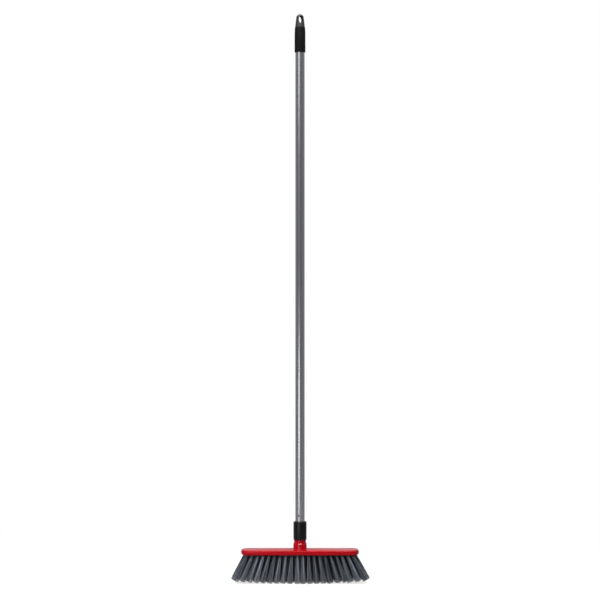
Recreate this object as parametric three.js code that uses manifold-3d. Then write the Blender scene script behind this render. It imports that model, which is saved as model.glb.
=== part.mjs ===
// A household push broom, in millimetres, +Z up, standing on its bristle tips with the handle screwed in.
//
// The head is a glossy moulded cover with a threaded neck. A block snaps into the cover from below and
// carries four staggered rows of tufts that fan outwards. The handle is a lacquered steel tube. A threaded
// plug is riveted into its lower end and screws into the neck, and a ferrule rides up and down with the
// plug's flange and hides the joint. A grip sleeve and a domed hanging cap close the upper end.
// The origin is on the floor, under the middle of the head. X runs along the head and Y across it.

import * as THREE from "three";
import { mergeVertices } from "three/addons/utils/BufferGeometryUtils.js";
import Module from "manifold-3d";

const wasm = await Module();
wasm.setup();

// Fits that all the pieces share
const seatGap = 0.3; // between two faces that rest on each other
const slipGap = 0.3; // radial play of a piece that slides over or into another
const overrun = 1.5; // how far a cut runs past the face that it opens
const weldDistance = 0.0001; // corners closer than this are one corner
const leastRadius = 0.01; // of a corner whose radius an inset has used up
const roundSteps = 32; // sides of a turned piece
const filletSteps = 4; // steps of a rounded edge
const curveSteps = 3; // steps of an eighth of a turn in a turned piece's outline

// Cover of the head
const coverLength = 290;
const coverDepth = 56;
const coverHeight = 12.5;
const coverCorner = 21; // radius of its corners, seen from above
const coverCrown = 0.8; // rise of the top face from its edge to its middle
const topFillet = 3;
const tuckWidth = 3; // the lower edge turns in by this much
const tuckHeight = 5;
const topPlate = 2.4; // thickness over the cavity
const rimWidth = 4.4; // thickness of the side wall
const cornerSteps = 7; // steps of each corner, seen from above
const crownInsetShares = [0.3, 0.62, 0.9]; // of the way from the edge of the top face to the corner's centre
const crownRiseShares = [0.55, 0.9, 1]; // of the crown, at those insets

// Neck that stands on the cover
const collarDiameter = 33.4;
const collarHeight = 13;
const collarFillet = 2.5; // where it meets the cover
const shoulderHeight = 3; // the cone between collar and neck
const neckDiameter = 29.4;
const neckHeight = 34; // above the shoulder
const neckShow = 7; // the part of it that the ferrule leaves bare
const mouthChamfer = 1;

// Screw thread of plug and neck
const threadPitch = 5;
const threadCrestRadius = 10.7;
const threadDepth = 2.1;
const threadCrestWidth = 1.3;
const threadFlankWidth = 1.1; // along the axis
const threadPlay = 0.4; // radial, and along the axis on each flank
const threadSteps = 18; // straight pieces in one turn
const threadLength = 26; // of the plug's screw
const threadRunout = 2; // extra depth of the neck's thread below the screw

// Block that the tufts are set in
const blockRecess = 1; // its face lies this far above the cover's lower edge
const sliceThickness = 2.2; // the layer that the bristles are fused to
const snapBead = 0.8; // the bead that clicks into the cover
const snapBeadHeight = 2;

// Tufts
const bristleLength = 70; // from the face of the block to the floor
const tuftPitch = 13.6; // along a row
const tuftTurn = THREE.MathUtils.degToRad(137.5); // each tuft is turned by this against its neighbour
const tuftMargin = 1.2; // between the outermost strands and the edge of the block
const rowCount = 4;
const rowMargin = 5.3; // from the outer rows to the edge of the block
const strandRootRadius = 0.85;
const strandTipRadius = 1.8;
const tuftRootRing = 1.9; // radius of the ring of strands where they leave the block
const tuftTipRing = 5.2; // the same at the tips
const ringStrands = 4; // round one strand in the middle
const strandSides = 3;
const endLean = THREE.MathUtils.degToRad(27); // outward lean at the ends of the block
const sideLean = THREE.MathUtils.degToRad(15); // outward lean at the long edges of the block
const floorTrim = 0.5; // cut off the lowest tips, so that they stand flat

// Plug in the lower end of the tube
const flangeThickness = 2.5;
const plugSpigotLength = 42;
const plugCoreRadius = 5.5; // its blind core, open at the tip of the screw
const plugCoreRoof = 5;
const screwTipChamfer = 1.6;

// Handle
const handleLength = 1296; // from the lower edge of the ferrule to the top of the cap
const tubeDiameter = 23;
const tubeWall = 0.5;

// Ferrule
const ferruleHeight = 45.5;
const ferruleWall = 1.3;
const ferruleShoulder = 4.2; // radius of its rounded top edge
const ferruleEdge = 0.6; // radius of its lower edge

// Rivets that hold the plug in the tube
const rivetHeight = 14.5; // above the ferrule
const rivetShankRadius = 1.5;
const rivetHeadRadius = 2.6;
const rivetHeadHeight = 0.8;
const rivetLength = 3.6; // of its shank, inside the outer face of the tube
const rivetSides = 12;
const rivetTurn = THREE.MathUtils.degToRad(-18); // from the front of the broom, round the handle

// Grip sleeve
const gripLength = 61.3;
const gripWall = 1.7;
const gripTopWall = 0.85;
const gripFlareLength = 21; // over which the wall grows from the top
const gripRim = 1.1; // radius of its lower edge

// Hanging cap
const domeHeight = 32.7;
const domeBrim = 0.75; // the dome stands out from the tube by this much
const domeRoundHeight = 9; // of its round top
const domeRoundRadius = 9.4; // where the round top starts
const eyeWidth = 10;
const eyeHeight = 19;
const eyeSteps = 12; // of half its outline
const eyeTop = 4.7; // material over the eye
const eyeTurn = THREE.MathUtils.degToRad(15); // from the front of the broom, round the handle
const capSpigotLength = 35;
const capSpigotWall = 2;

// Places that follow from the sizes
const blockBottom = bristleLength;
const coverBottom = blockBottom - blockRecess;
const coverSlice = { x: coverLength / 2, y: coverDepth / 2, r: coverCorner };
const blockEdge = rimWidth + slipGap; // the block's sides lie this far inside the cover's
const blockLength = coverLength - 2 * blockEdge;
const blockDepth = coverDepth - 2 * blockEdge;
const rowPitch = (blockDepth - 2 * rowMargin) / (rowCount - 1);
const neckRadius = neckDiameter / 2;
const collarRadius = collarDiameter / 2;
const flangeRadius = neckRadius - slipGap;
const shoulderFoot = coverHeight + collarHeight;
const shoulderTop = shoulderFoot + shoulderHeight;
const neckTop = shoulderTop + neckHeight;
const tubeRadius = tubeDiameter / 2;
const tubeBore = tubeRadius - tubeWall;
const spigotRadius = tubeBore - slipGap;
const mouth = coverBottom + neckTop; // height of the neck's mouth above the floor

// The handle's own heights are measured from the neck's mouth
const flangeBottom = seatGap;
const flangeTop = flangeBottom + flangeThickness;
const ferruleBottom = seatGap + neckShow - neckHeight;
const ferruleLedge = flangeTop + seatGap;
const ferruleTop = ferruleBottom + ferruleHeight;
const domeBase = ferruleBottom + handleLength - domeHeight;
const tubeBottom = flangeTop + seatGap;
const tubeTop = domeBase - seatGap;
const rivetPlace = ferruleTop + rivetHeight;
const gripTop = domeBase - seatGap;

// Turns a closed three.js geometry into a solid that can be joined and cut.
function solidOf(geometry) {
  const bare = geometry.clone();
  bare.deleteAttribute("normal");
  bare.deleteAttribute("uv");
  const merged = mergeVertices(bare, weldDistance);
  const corners = merged.index.array;
  const kept = [];
  for (let i = 0; i < corners.length; i += 3) {
    const [a, b, c] = corners.slice(i, i + 3);
    if (a !== b && b !== c && c !== a) kept.push(a, b, c);
  }
  return new wasm.Manifold(
    new wasm.Mesh({
      numProp: 3,
      vertProperties: merged.attributes.position.array,
      triVerts: new Uint32Array(kept),
    }),
  );
}

// Turns a solid back into a geometry.
function geometryOf(solid) {
  const mesh = solid.getMesh();
  return new THREE.BufferGeometry()
    .setAttribute("position", new THREE.BufferAttribute(mesh.vertProperties, 3))
    .setIndex(new THREE.BufferAttribute(mesh.triVerts, 1));
}

// A body of revolution about Z. The path holds radius and height, and starts low on the axis or closes.
function turned(path, sides = roundSteps) {
  const lathe = new THREE.LatheGeometry(path.getPoints(curveSteps), sides);
  return solidOf(lathe.rotateX(Math.PI / 2));
}

// A plain cylinder between two heights.
function cylinder(radius, bottom, top, sides = roundSteps) {
  const path = new THREE.Path().moveTo(0, bottom);
  path.lineTo(radius, bottom).lineTo(radius, top).lineTo(0, top);
  return turned(path, sides);
}

// A rounded rectangle about the origin, anticlockwise, drawn in by an inset.
function roundedRing({ x, y, r }, inset) {
  const radius = Math.max(r - inset, leastRadius);
  const points = [];
  for (let quarter = 0; quarter < 4; quarter++) {
    const sx = quarter === 0 || quarter === 3 ? 1 : -1;
    const sy = quarter < 2 ? 1 : -1;
    for (let step = 0; step <= cornerSteps; step++) {
      const angle = ((quarter + step / cornerSteps) * Math.PI) / 2;
      points.push([
        sx * (x - inset - radius) + radius * Math.cos(angle),
        sy * (y - inset - radius) + radius * Math.sin(angle),
      ]);
    }
  }
  return points;
}

// A closed body through rounded rectangles, each with its inset and height, from the lowest up.
function stacked(slice, levels) {
  const rings = levels.map(([inset]) => roundedRing(slice, inset));
  const count = rings[0].length;
  const position = rings.flatMap((ring, i) => ring.flatMap(([px, py]) => [px, py, levels[i][1]]));
  const index = [];
  for (let level = 0; level + 1 < rings.length; level++) {
    for (let i = 0; i < count; i++) {
      const a = level * count + i;
      const b = level * count + ((i + 1) % count);
      index.push(a, b, b + count, a, b + count, a + count);
    }
  }
  const last = (rings.length - 1) * count;
  for (let i = 1; i + 1 < count; i++) {
    index.push(0, i + 1, i);
    index.push(last, last + i, last + i + 1);
  }
  const geometry = new THREE.BufferGeometry();
  geometry.setAttribute("position", new THREE.Float32BufferAttribute(position, 3));
  return solidOf(geometry.setIndex(index));
}

// A rod with a helical thread, longer than wanted at both ends. Turn zero starts at the given height, so
// that two rods with the same start and turns are in mesh.
function threadedRod(crest, depth, crestWidth, flankWidth, start, turns) {
  const profile = [
    [-crestWidth / 2 - flankWidth, crest - depth],
    [-crestWidth / 2, crest],
    [crestWidth / 2, crest],
    [crestWidth / 2 + flankWidth, crest - depth],
  ];
  const columns = turns * threadSteps;
  const position = [];
  for (let i = 0; i <= columns; i++) {
    const angle = ((i % threadSteps) / threadSteps) * 2 * Math.PI;
    for (const [rise, radius] of profile) {
      const height = start + threadPitch * (i / threadSteps) + rise;
      position.push(radius * Math.cos(angle), radius * Math.sin(angle), height);
    }
  }
  const at = (i, k) => i * profile.length + k;
  const index = [];
  const quad = (a, b, c, d) => index.push(a, b, c, a, c, d);
  for (let i = 0; i < columns; i++) {
    for (let k = 0; k < 3; k++) quad(at(i, k), at(i + 1, k), at(i + 1, k + 1), at(i, k + 1));
    const above = i + threadSteps;
    if (above < columns) quad(at(i, 3), at(i + 1, 3), at(above + 1, 0), at(above, 0));
  }
  const foot = position.length / 3;
  position.push(0, 0, start);
  const head = foot + 1;
  position.push(0, 0, start + threadPitch * turns);
  for (let i = 0; i < threadSteps; i++) {
    index.push(foot, at(i + 1, 0), at(i, 0));
    const j = columns - threadSteps + i;
    index.push(head, at(j, 3), at(j + 1, 3));
  }
  index.push(foot, at(0, 3), at(threadSteps, 0));
  index.push(head, at(columns, 0), at(columns - threadSteps, 3));
  for (let k = 0; k < 3; k++) {
    index.push(foot, at(0, k), at(0, k + 1));
    index.push(head, at(columns, k + 1), at(columns, k));
  }
  const geometry = new THREE.BufferGeometry();
  geometry.setAttribute("position", new THREE.Float32BufferAttribute(position, 3));
  return solidOf(geometry.setIndex(index));
}

// Turns of thread that cover the screw and its run-out, with one spare turn at each end
const threadTurns = Math.ceil((threadLength + threadRunout) / threadPitch) + 3;
const threadStart = -threadPitch * (threadTurns - 1);

// The cover with its neck. Height zero is its lower edge.
function makeCover() {
  const sideTop = coverHeight - coverCrown;
  const levels = [];
  for (let step = 0; step <= filletSteps; step++) {
    const angle = ((step / filletSteps) * Math.PI) / 2;
    levels.push([tuckWidth * (1 - Math.sin(angle)), tuckHeight * (1 - Math.cos(angle))]);
  }
  for (let step = 0; step <= filletSteps; step++) {
    const angle = ((step / filletSteps) * Math.PI) / 2;
    levels.push([topFillet * (1 - Math.cos(angle)), sideTop - topFillet * (1 - Math.sin(angle))]);
  }
  crownInsetShares.forEach((share, i) => {
    const inset = topFillet + share * (coverCorner - topFillet);
    levels.push([inset, sideTop + crownRiseShares[i] * coverCrown]);
  });
  const shell = stacked(coverSlice, levels);

  const neck = new THREE.Path().moveTo(0, sideTop - topPlate / 2);
  neck.lineTo(collarRadius + collarFillet, sideTop - topPlate / 2);
  neck.lineTo(collarRadius + collarFillet, coverHeight);
  neck.absarc(
    collarRadius + collarFillet,
    coverHeight + collarFillet,
    collarFillet,
    -Math.PI / 2,
    -Math.PI,
    true,
  );
  neck.lineTo(collarRadius, shoulderFoot).lineTo(neckRadius, shoulderTop);
  neck.lineTo(neckRadius, neckTop).lineTo(0, neckTop);

  const roof = coverHeight - topPlate;
  const [beadLow, beadHigh] = beadHeights();
  const groove = rimWidth - snapBead;
  const cavity = stacked(coverSlice, [
    [rimWidth, -overrun],
    [rimWidth, beadLow - seatGap - snapBead],
    [groove, beadLow - seatGap],
    [groove, beadHigh + seatGap],
    [rimWidth, beadHigh + seatGap + snapBead],
    [rimWidth, roof],
  ]);

  const threadFoot = neckTop - threadLength - threadRunout;
  const thread = threadedRod(
    threadCrestRadius + threadPlay,
    threadDepth,
    threadCrestWidth + 2 * threadPlay,
    threadFlankWidth,
    neckTop + threadStart,
    threadTurns,
  ).intersect(cylinder(collarRadius, threadFoot, neckTop + overrun, threadSteps));
  const bore = cylinder(threadCrestRadius - threadDepth, coverHeight, threadFoot + overrun, threadSteps);
  const flare = threadCrestRadius + threadPlay;
  const lead = new THREE.Path().moveTo(0, neckTop - mouthChamfer);
  lead.lineTo(flare, neckTop - mouthChamfer).lineTo(flare + mouthChamfer, neckTop);
  lead.lineTo(flare + mouthChamfer, neckTop + overrun).lineTo(0, neckTop + overrun);
  return shell
    .add(turned(neck))
    .subtract(cavity)
    .subtract(bore)
    .subtract(thread)
    .subtract(turned(lead));
}

// Lower and upper height of the bead's flat, above the cover's lower edge.
function beadHeights() {
  const bottom = blockRecess + sliceThickness + seatGap;
  const top = coverHeight - topPlate - seatGap;
  const middle = (bottom + top) / 2;
  return [middle - snapBeadHeight / 2, middle + snapBeadHeight / 2];
}

// The block without its lowest layer. Height zero is the cover's lower edge.
function makeBlock() {
  const [beadLow, beadHigh] = beadHeights();
  return stacked(coverSlice, [
    [blockEdge, blockRecess + sliceThickness + seatGap],
    [blockEdge, beadLow - snapBead],
    [blockEdge - snapBead, beadLow],
    [blockEdge - snapBead, beadHigh],
    [blockEdge, beadHigh + snapBead],
    [blockEdge, coverHeight - topPlate - seatGap],
  ]);
}

// Places of the tufts in one row: the rows are staggered by half a pitch, and stop at the block's corners.
function tuftPlaces(row) {
  const y = (row - (rowCount - 1) / 2) * rowPitch;
  const reach = coverCorner - blockEdge - tuftMargin - tuftRootRing - strandRootRadius;
  const over = Math.max(Math.abs(y) - (coverDepth / 2 - coverCorner), 0);
  const farthest = coverLength / 2 - coverCorner + Math.sqrt(Math.max(reach * reach - over * over, 0));
  const odd = row % 2;
  const count = 2 * Math.floor(farthest / tuftPitch + (1 - odd) / 2) + odd;
  return Array.from({ length: count }, (_, i) => {
    const place = i - (count - 1) / 2;
    return { x: place * tuftPitch, y, turn: place * tuftTurn };
  });
}

// One row of tufts, fused to its slice of the block. Height zero is the floor.
function makeBristles(row) {
  const position = [];
  const index = [];
  const addStrand = (root, tip, turn) => {
    const first = position.length / 3;
    for (const [px, py, pz, radius] of [root, tip]) {
      for (let side = 0; side < strandSides; side++) {
        const angle = turn + (side / strandSides) * 2 * Math.PI;
        position.push(px + radius * Math.cos(angle), py + radius * Math.sin(angle), pz);
      }
    }
    for (let side = 0; side < strandSides; side++) {
      const a = first + side;
      const b = first + ((side + 1) % strandSides);
      index.push(a, a + strandSides, b + strandSides, a, b + strandSides, b);
    }
    index.push(first, first + 1, first + 2);
    index.push(first + strandSides, first + strandSides + 2, first + strandSides + 1);
  };
  const rootHeight = blockBottom + sliceThickness / 2;
  for (const { x, y, turn } of tuftPlaces(row)) {
    const leanX = (endLean * x) / (blockLength / 2);
    const leanY = (sideLean * y) / (blockDepth / 2);
    const tipHeight = Math.max(bristleLength * (1 - Math.cos(leanX)) - floorTrim, 0);
    const fall = blockBottom - tipHeight;
    const tipX = x + fall * Math.tan(leanX);
    const tipY = y + fall * Math.tan(leanY);
    addStrand([x, y, rootHeight, strandRootRadius], [tipX, tipY, tipHeight, strandTipRadius], turn);
    for (let strand = 0; strand < ringStrands; strand++) {
      const angle = turn + (strand / ringStrands) * 2 * Math.PI;
      const dx = Math.cos(angle);
      const dy = Math.sin(angle);
      addStrand(
        [x + tuftRootRing * dx, y + tuftRootRing * dy, rootHeight, strandRootRadius],
        [tipX + tuftTipRing * dx, tipY + tuftTipRing * dy, tipHeight, strandTipRadius],
        angle,
      );
    }
  }
  const geometry = new THREE.BufferGeometry();
  geometry.setAttribute("position", new THREE.Float32BufferAttribute(position, 3));
  const strands = solidOf(geometry.setIndex(index));

  const middle = (row - (rowCount - 1) / 2) * rowPitch;
  const low = row === 0 ? -coverDepth / 2 : middle - rowPitch / 2 + seatGap / 2;
  const high = row === rowCount - 1 ? coverDepth / 2 : middle + rowPitch / 2 - seatGap / 2;
  const band = new THREE.BoxGeometry(coverLength, high - low, sliceThickness + 2 * overrun);
  band.translate(0, (low + high) / 2, blockBottom + sliceThickness / 2);
  const slice = stacked(coverSlice, [
    [blockEdge, blockBottom],
    [blockEdge, blockBottom + sliceThickness],
  ]);
  return slice.intersect(solidOf(band)).add(strands);
}

// The plug: a screw below, a flange on the neck's mouth and a spigot in the tube.
function makePlug() {
  const tip = flangeBottom - threadLength;
  const core = threadCrestRadius - threadDepth;
  const outside = threadCrestRadius + overrun;
  const flangeMiddle = flangeBottom + flangeThickness / 2;
  const room = new THREE.Path().moveTo(0, tip);
  room.lineTo(core - screwTipChamfer, tip).lineTo(outside, tip + outside - core + screwTipChamfer);
  room.lineTo(outside, flangeMiddle).lineTo(0, flangeMiddle);
  const screw = threadedRod(
    threadCrestRadius,
    threadDepth,
    threadCrestWidth,
    threadFlankWidth,
    threadStart,
    threadTurns,
  ).intersect(turned(room, threadSteps));
  const body = new THREE.Path().moveTo(0, flangeBottom).lineTo(flangeRadius, flangeBottom);
  body.lineTo(flangeRadius, flangeTop).lineTo(spigotRadius, flangeTop);
  body.lineTo(spigotRadius, flangeTop + plugSpigotLength).lineTo(0, flangeTop + plugSpigotLength);
  const hollowTop = flangeTop + plugSpigotLength - plugCoreRoof;
  const hollow = cylinder(plugCoreRadius, tip - overrun, hollowTop, threadSteps);
  return screw.add(turned(body)).subtract(hollow).subtract(rivetHoles());
}

// The two holes for the rivets, as one solid across the handle.
function rivetHoles() {
  const reach = tubeRadius + overrun;
  const hole = new THREE.CylinderGeometry(
    rivetShankRadius + slipGap,
    rivetShankRadius + slipGap,
    2 * reach,
    rivetSides,
  );
  hole.rotateZ(rivetTurn).translate(0, 0, rivetPlace);
  return solidOf(hole);
}

function makeTube() {
  const wall = new THREE.Path().moveTo(tubeBore, tubeBottom);
  wall.lineTo(tubeRadius, tubeBottom).lineTo(tubeRadius, tubeTop).lineTo(tubeBore, tubeTop);
  wall.lineTo(tubeBore, tubeBottom);
  return turned(wall).subtract(rivetHoles());
}

// A rivet along its own Z: the head's flat is at height zero and the shank hangs below.
function makeRivet() {
  const path = new THREE.Path().moveTo(0, -rivetLength);
  path.lineTo(rivetShankRadius, -rivetLength).lineTo(rivetShankRadius, 0);
  path.lineTo(rivetHeadRadius, 0);
  path.absellipse(0, 0, rivetHeadRadius, rivetHeadHeight, 0, Math.PI / 2, false);
  return turned(path, rivetSides);
}

// The ferrule: a skirt round the neck, and a collar that slides on the tube above the plug's flange.
function makeFerrule() {
  const skirt = neckRadius + slipGap;
  const outside = skirt + ferruleWall;
  const bore = tubeRadius + slipGap;
  const path = new THREE.Path().moveTo(skirt, ferruleBottom);
  path.lineTo(outside - ferruleEdge, ferruleBottom);
  path.absarc(outside - ferruleEdge, ferruleBottom + ferruleEdge, ferruleEdge, -Math.PI / 2, 0, false);
  path.lineTo(outside, ferruleTop - ferruleShoulder);
  path.absarc(outside - ferruleShoulder, ferruleTop - ferruleShoulder, ferruleShoulder, 0, Math.PI / 2, false);
  path.lineTo(bore, ferruleTop).lineTo(bore, ferruleLedge).lineTo(skirt, ferruleLedge);
  path.lineTo(skirt, ferruleBottom);
  return turned(path);
}

// The grip sleeve, which swells below its top edge.
function makeGrip() {
  const bore = tubeRadius + slipGap;
  const bottom = gripTop - gripLength;
  const outside = bore + gripWall;
  const path = new THREE.Path().moveTo(bore, bottom);
  path.lineTo(outside - gripRim, bottom);
  path.absarc(outside - gripRim, bottom + gripRim, gripRim, -Math.PI / 2, 0, false);
  path.lineTo(outside, gripTop - gripFlareLength);
  path.quadraticCurveTo(outside, gripTop - gripFlareLength / 2, bore + gripTopWall, gripTop);
  path.lineTo(bore, gripTop).lineTo(bore, bottom);
  return turned(path);
}

// The hanging cap: a dome with an eye through it, and a hollow spigot in the tube. Height zero is its brim.
function makeCap() {
  const brim = tubeRadius + domeBrim;
  const path = new THREE.Path().moveTo(0, -capSpigotLength);
  path.lineTo(spigotRadius, -capSpigotLength).lineTo(spigotRadius, 0);
  const roundBase = domeHeight - domeRoundHeight;
  path.lineTo(brim, 0).lineTo(domeRoundRadius, roundBase);
  path.absellipse(0, roundBase, domeRoundRadius, domeRoundHeight, 0, Math.PI / 2, false);
  const core = cylinder(
    spigotRadius - capSpigotWall,
    -capSpigotLength - overrun,
    -capSpigotWall,
  );
  const outline = new THREE.Shape();
  outline.absellipse(0, 0, eyeWidth / 2, eyeHeight / 2, 0, 2 * Math.PI, false);
  const reach = brim + overrun;
  const eye = new THREE.ExtrudeGeometry(outline, {
    depth: 2 * reach,
    bevelEnabled: false,
    curveSegments: eyeSteps,
  });
  eye.translate(0, 0, -reach).rotateX(Math.PI / 2).rotateZ(eyeTurn);
  eye.translate(0, 0, domeHeight - eyeTop - eyeHeight / 2);
  return turned(path).subtract(core).subtract(solidOf(eye));
}

// Finishes, as the object shows them
function finish(color, roughness, metalness) {
  return new THREE.MeshStandardMaterial({ color, roughness, metalness, flatShading: true });
}
const redPlastic = finish(0xb80d20, 0.28, 0);
const blackPlastic = finish(0x161417, 0.45, 0);
const blockPlastic = finish(0x1c1b1e, 0.6, 0);
const bristleFibre = finish(0x4d5259, 0.6, 0);
const greyLacquer = finish(0x77787b, 0.35, 0.7);
const capPlastic = finish(0x3a3a3c, 0.5, 0);
const gripRubber = finish(0x131214, 0.7, 0);
const rivetSteel = finish(0x8d8f92, 0.35, 1);

function piece(name, solid, material) {
  const mesh = new THREE.Mesh(geometryOf(solid), material);
  mesh.name = name;
  return mesh;
}

// The head stands on the floor
const broom = new THREE.Group();
const head = new THREE.Group();
broom.add(head);
const cover = piece("head_cover", makeCover(), redPlastic);
const block = piece("tuft_block", makeBlock(), blockPlastic);
cover.position.z = coverBottom;
block.position.z = coverBottom;
head.add(cover, block);
const rowNames = ["bristles_front", "bristles_mid_front", "bristles_mid_rear", "bristles_rear"];
rowNames.forEach((name, row) => {
  head.add(piece(name, makeBristles(row), bristleFibre));
});

// The handle stands in the neck
const handle = new THREE.Group();
handle.position.z = mouth;
broom.add(handle);
handle.add(piece("ferrule", makeFerrule(), blackPlastic));
handle.add(piece("threaded_plug", makePlug(), blackPlastic));
handle.add(piece("handle_tube", makeTube(), greyLacquer));
handle.add(piece("grip_sleeve", makeGrip(), gripRubber));
const cap = piece("hanging_cap", makeCap(), capPlastic);
cap.position.z = domeBase;
handle.add(cap);
[0, Math.PI].forEach((turn, i) => {
  const arm = new THREE.Group();
  arm.rotation.z = rivetTurn + turn;
  arm.position.z = rivetPlace;
  const rivet = piece(["plug_rivet_front", "plug_rivet_rear"][i], makeRivet(), rivetSteel);
  rivet.rotation.x = Math.PI / 2;
  rivet.position.y = -tubeRadius - seatGap;
  arm.add(rivet);
  handle.add(arm);
});

export default broom;
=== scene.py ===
# %% [markdown]
# # A push broom, dressed piece by piece
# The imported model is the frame: it says where each piece of the broom sits, how large it is and how it moves.
# This lesson makes what the eye meets: the glossy head with its tufts, the lacquered handle and its fittings.
# Everything is in metres. X runs along the head, Y from the front to the back, and Z up from the floor.

import math
import random

import bmesh
import bpy
from mathutils import Matrix, Vector


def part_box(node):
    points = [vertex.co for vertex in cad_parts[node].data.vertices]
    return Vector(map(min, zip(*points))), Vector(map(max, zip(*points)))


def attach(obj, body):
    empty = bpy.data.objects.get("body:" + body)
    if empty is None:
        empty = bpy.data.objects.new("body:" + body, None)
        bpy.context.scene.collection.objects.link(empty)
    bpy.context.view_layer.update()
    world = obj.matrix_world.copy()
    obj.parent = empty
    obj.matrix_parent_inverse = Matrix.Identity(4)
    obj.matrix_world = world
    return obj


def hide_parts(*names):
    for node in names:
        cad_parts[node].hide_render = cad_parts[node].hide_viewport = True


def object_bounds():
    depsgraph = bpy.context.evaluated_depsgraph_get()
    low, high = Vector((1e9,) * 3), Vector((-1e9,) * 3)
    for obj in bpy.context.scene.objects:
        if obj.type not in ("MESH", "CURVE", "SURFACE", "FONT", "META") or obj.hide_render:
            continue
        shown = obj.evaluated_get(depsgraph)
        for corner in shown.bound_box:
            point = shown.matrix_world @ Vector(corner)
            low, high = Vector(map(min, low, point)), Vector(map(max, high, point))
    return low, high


MM = 0.001

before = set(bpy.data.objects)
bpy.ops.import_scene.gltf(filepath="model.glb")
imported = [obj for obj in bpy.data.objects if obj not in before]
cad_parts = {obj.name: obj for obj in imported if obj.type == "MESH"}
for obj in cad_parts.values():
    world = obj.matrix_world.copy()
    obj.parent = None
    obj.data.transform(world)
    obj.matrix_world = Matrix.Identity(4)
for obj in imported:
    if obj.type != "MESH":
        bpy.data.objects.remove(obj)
cad_low, cad_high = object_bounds()
print("the frame spans", [round(side / MM, 1) for side in cad_high - cad_low], "mm")

# %% [markdown]
# ## Where things are
# A piece that stands for a part of the frame takes its place and its main sizes from that part's box, so
# nothing has to be fitted afterwards. Only what a box can't say, such as a rounding, is written out below. In
# the frame, the lowest slice of the block belongs to the rows of tufts, so its face is that far below their tops.

# %% Measure the parts of the frame
cover_low, cover_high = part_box("head_cover")
block_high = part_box("tuft_block")[1]
ferrule_low, ferrule_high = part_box("ferrule")
plug_low, plug_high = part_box("threaded_plug")
tube_low, tube_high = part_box("handle_tube")
grip_low, grip_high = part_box("grip_sleeve")
cap_low, cap_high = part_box("hanging_cap")
front_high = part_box("bristles_front")[1]

MOUTH = cover_high.z
BLOCK_SLICE = 2.2 * MM
BLOCK_FACE = front_high.z - BLOCK_SLICE
TUBE_RADIUS = tube_high.x
SEAT_GAP = 0.3 * MM
print("mouth of the neck at", round(MOUTH / MM, 1), "mm, face of the block at", round(BLOCK_FACE / MM, 1))

# %% [markdown]
# ## Tools for shaping
# Most of the broom is turned or moulded, so a few helpers do most of the work. One spins an outline as a lathe
# does. One carves: it joins or cuts two shapes with the exact Boolean, for the neck, the threads and the holes.
# One draws a face inwards and outwards in small steps, which rolls a flat edge into a moulded one.

# %% Lathe, carving and drawing in
LATHE_STEPS = 96
ROUND_STEPS = 6
WELD = 0.002 * MM
LOOKS_STRAIGHT = 0.99


def turn_on_lathe(corners, closed=True, steps=LATHE_STEPS):
    """Spins an outline about Z. A corner is radius and height, and may have a rounding as a third number."""
    bm = bmesh.new()
    dots = [bm.verts.new((corner[0], 0, corner[1])) for corner in corners]
    for a, b in zip(dots, dots[1:]):
        bm.edges.new((a, b))
    if closed:
        bm.edges.new((dots[-1], dots[0]))
    for dot, corner in zip(dots, corners):
        if len(corner) > 2:
            bmesh.ops.bevel(bm, geom=[dot], offset=corner[2], offset_type="OFFSET", affect="VERTICES",
                            segments=ROUND_STEPS, profile=0.5, material=-1)
    bmesh.ops.spin(bm, geom=bm.verts[:] + bm.edges[:], cent=(0, 0, 0), axis=(0, 0, 1), dvec=(0, 0, 0),
                   angle=2 * math.pi, steps=steps, use_merge=True)
    return tidy_up(bm)


def tidy_up(bm):
    """Welds doubled corners and turns every face outwards."""
    bmesh.ops.remove_doubles(bm, verts=bm.verts, dist=WELD)
    bmesh.ops.recalc_face_normals(bm, faces=bm.faces)
    return bm


def as_mesh(bm, name):
    """Turns a bmesh into a mesh. The bmesh is used up."""
    mesh = bpy.data.meshes.new(name)
    bm.to_mesh(mesh)
    bm.free()
    return mesh


def new_object(name, data):
    made = bpy.data.objects.new(name, data)
    bpy.context.scene.collection.objects.link(made)
    return made


def loose_object(bm, name):
    return new_object(name, as_mesh(bm, name))


def after_modifiers(obj):
    """The mesh that an object's modifiers leave, as a new bmesh. The object is used up."""
    shaped = obj.evaluated_get(bpy.context.evaluated_depsgraph_get())
    mesh = bpy.data.meshes.new_from_object(shaped)
    bm = bmesh.new()
    bm.from_mesh(mesh)
    bpy.data.meshes.remove(mesh)
    bpy.data.objects.remove(obj)
    return bm


def carve(base, tool, operation):
    """Joins (UNION), cuts (DIFFERENCE) or trims (INTERSECT) one bmesh with another and returns the result."""
    worked, blade = loose_object(base, "worked"), loose_object(tool, "blade")
    knife = worked.modifiers.new("carve", "BOOLEAN")
    knife.operation, knife.solver, knife.object = operation, "EXACT", blade
    bm = after_modifiers(worked)
    bpy.data.objects.remove(blade)
    return bm


def draw_in(bm, face, steps):
    """Draws a face in by each step's first number while it moves outwards by the second."""
    for inwards, outwards in steps:
        bmesh.ops.inset_region(bm, faces=[face], thickness=inwards, depth=outwards, use_boundary=True,
                               use_even_offset=True)


def quarter_round(inwards, outwards, steps=ROUND_STEPS):
    """Steps for draw_in that follow a quarter of an ellipse, from upright to flat."""
    angles = [math.pi / 2 * i / steps for i in range(steps + 1)]
    return [
        (inwards * (math.cos(a) - math.cos(b)), outwards * (math.sin(b) - math.sin(a)))
        for a, b in zip(angles, angles[1:])
    ]


def push(bm, face, distance):
    """Extrudes one face along its normal and returns the face at the new end."""
    end = bmesh.ops.extrude_discrete_faces(bm, faces=[face])["faces"][0]
    bmesh.ops.translate(bm, verts=end.verts, vec=face_normal(end) * distance)
    return end


def face_normal(face):
    face.normal_update()
    return face.normal.copy()


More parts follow.
